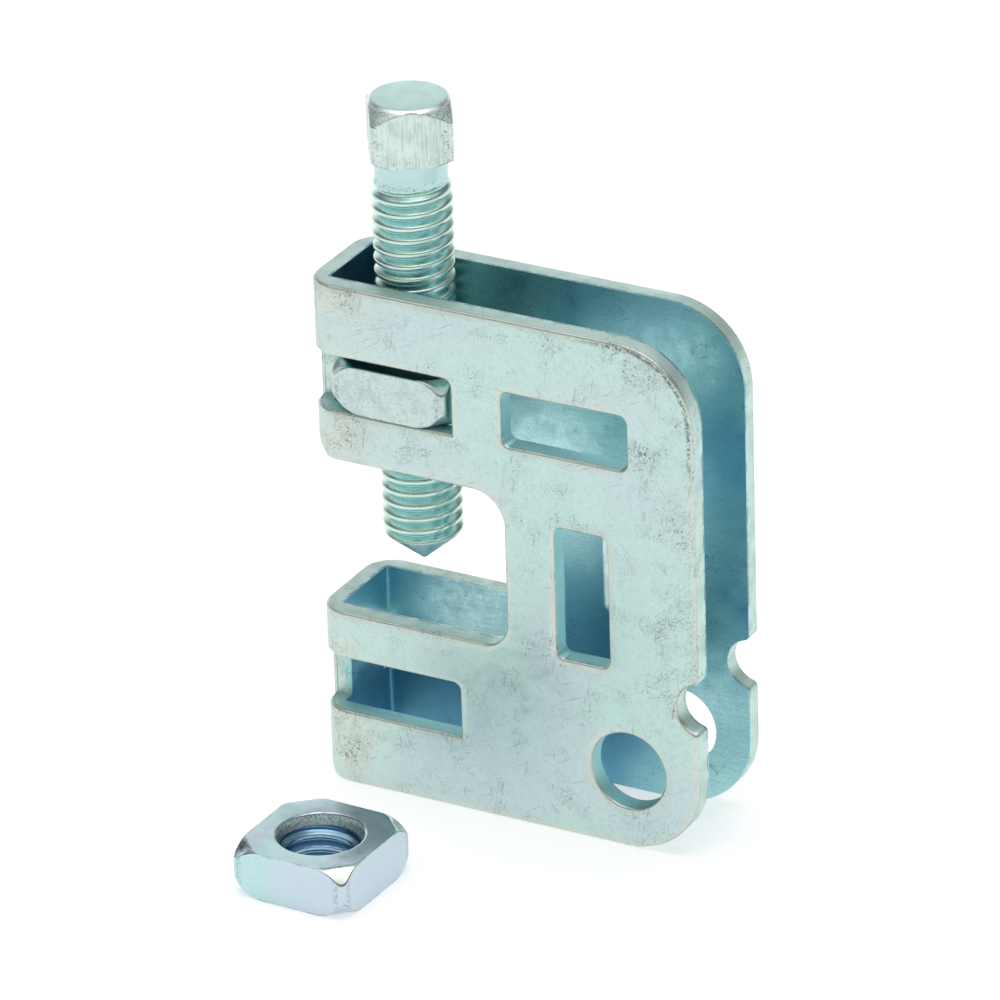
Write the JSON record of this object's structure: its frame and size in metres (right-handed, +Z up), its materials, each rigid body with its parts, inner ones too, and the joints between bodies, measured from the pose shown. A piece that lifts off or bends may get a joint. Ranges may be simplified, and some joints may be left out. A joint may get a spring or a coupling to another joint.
{
  "type": "beam clamp",
  "caption": "Folded sheet-steel beam clamp with a cone-point set screw in its upper jaw and square nuts for the screw and a hanger rod.",
  "frame": {"origin": "on the common axis of the set screw and the hanger rod, level with the lower edges of the flanks", "axes": "+Z up along the screw, +X from the open mouth towards the spine, -Y towards the flank that faces the viewer"},
  "size_m": [0.0498, 0.0452, 0.0853],
  "materials": {
    "plated_sheet": "bright zinc plate with a pale blue-green tint",
    "plated_screw": "zinc plate with a green-blue tint",
    "plated_nut": "bright zinc plate"
  },
  "bodies": {
    "root": {"clamp_body": "plated_sheet", "jaw_nut": "plated_nut", "rod_nut": "plated_nut"},
    "screw": {"set_screw": "plated_screw"}
  },
  "joints": [
    {"name": "screw_advance", "type": "slide", "parent": "root", "child": "screw", "axis": [0, 0, 1], "range_m": [-0.01429, 0.01905]}
  ]
}
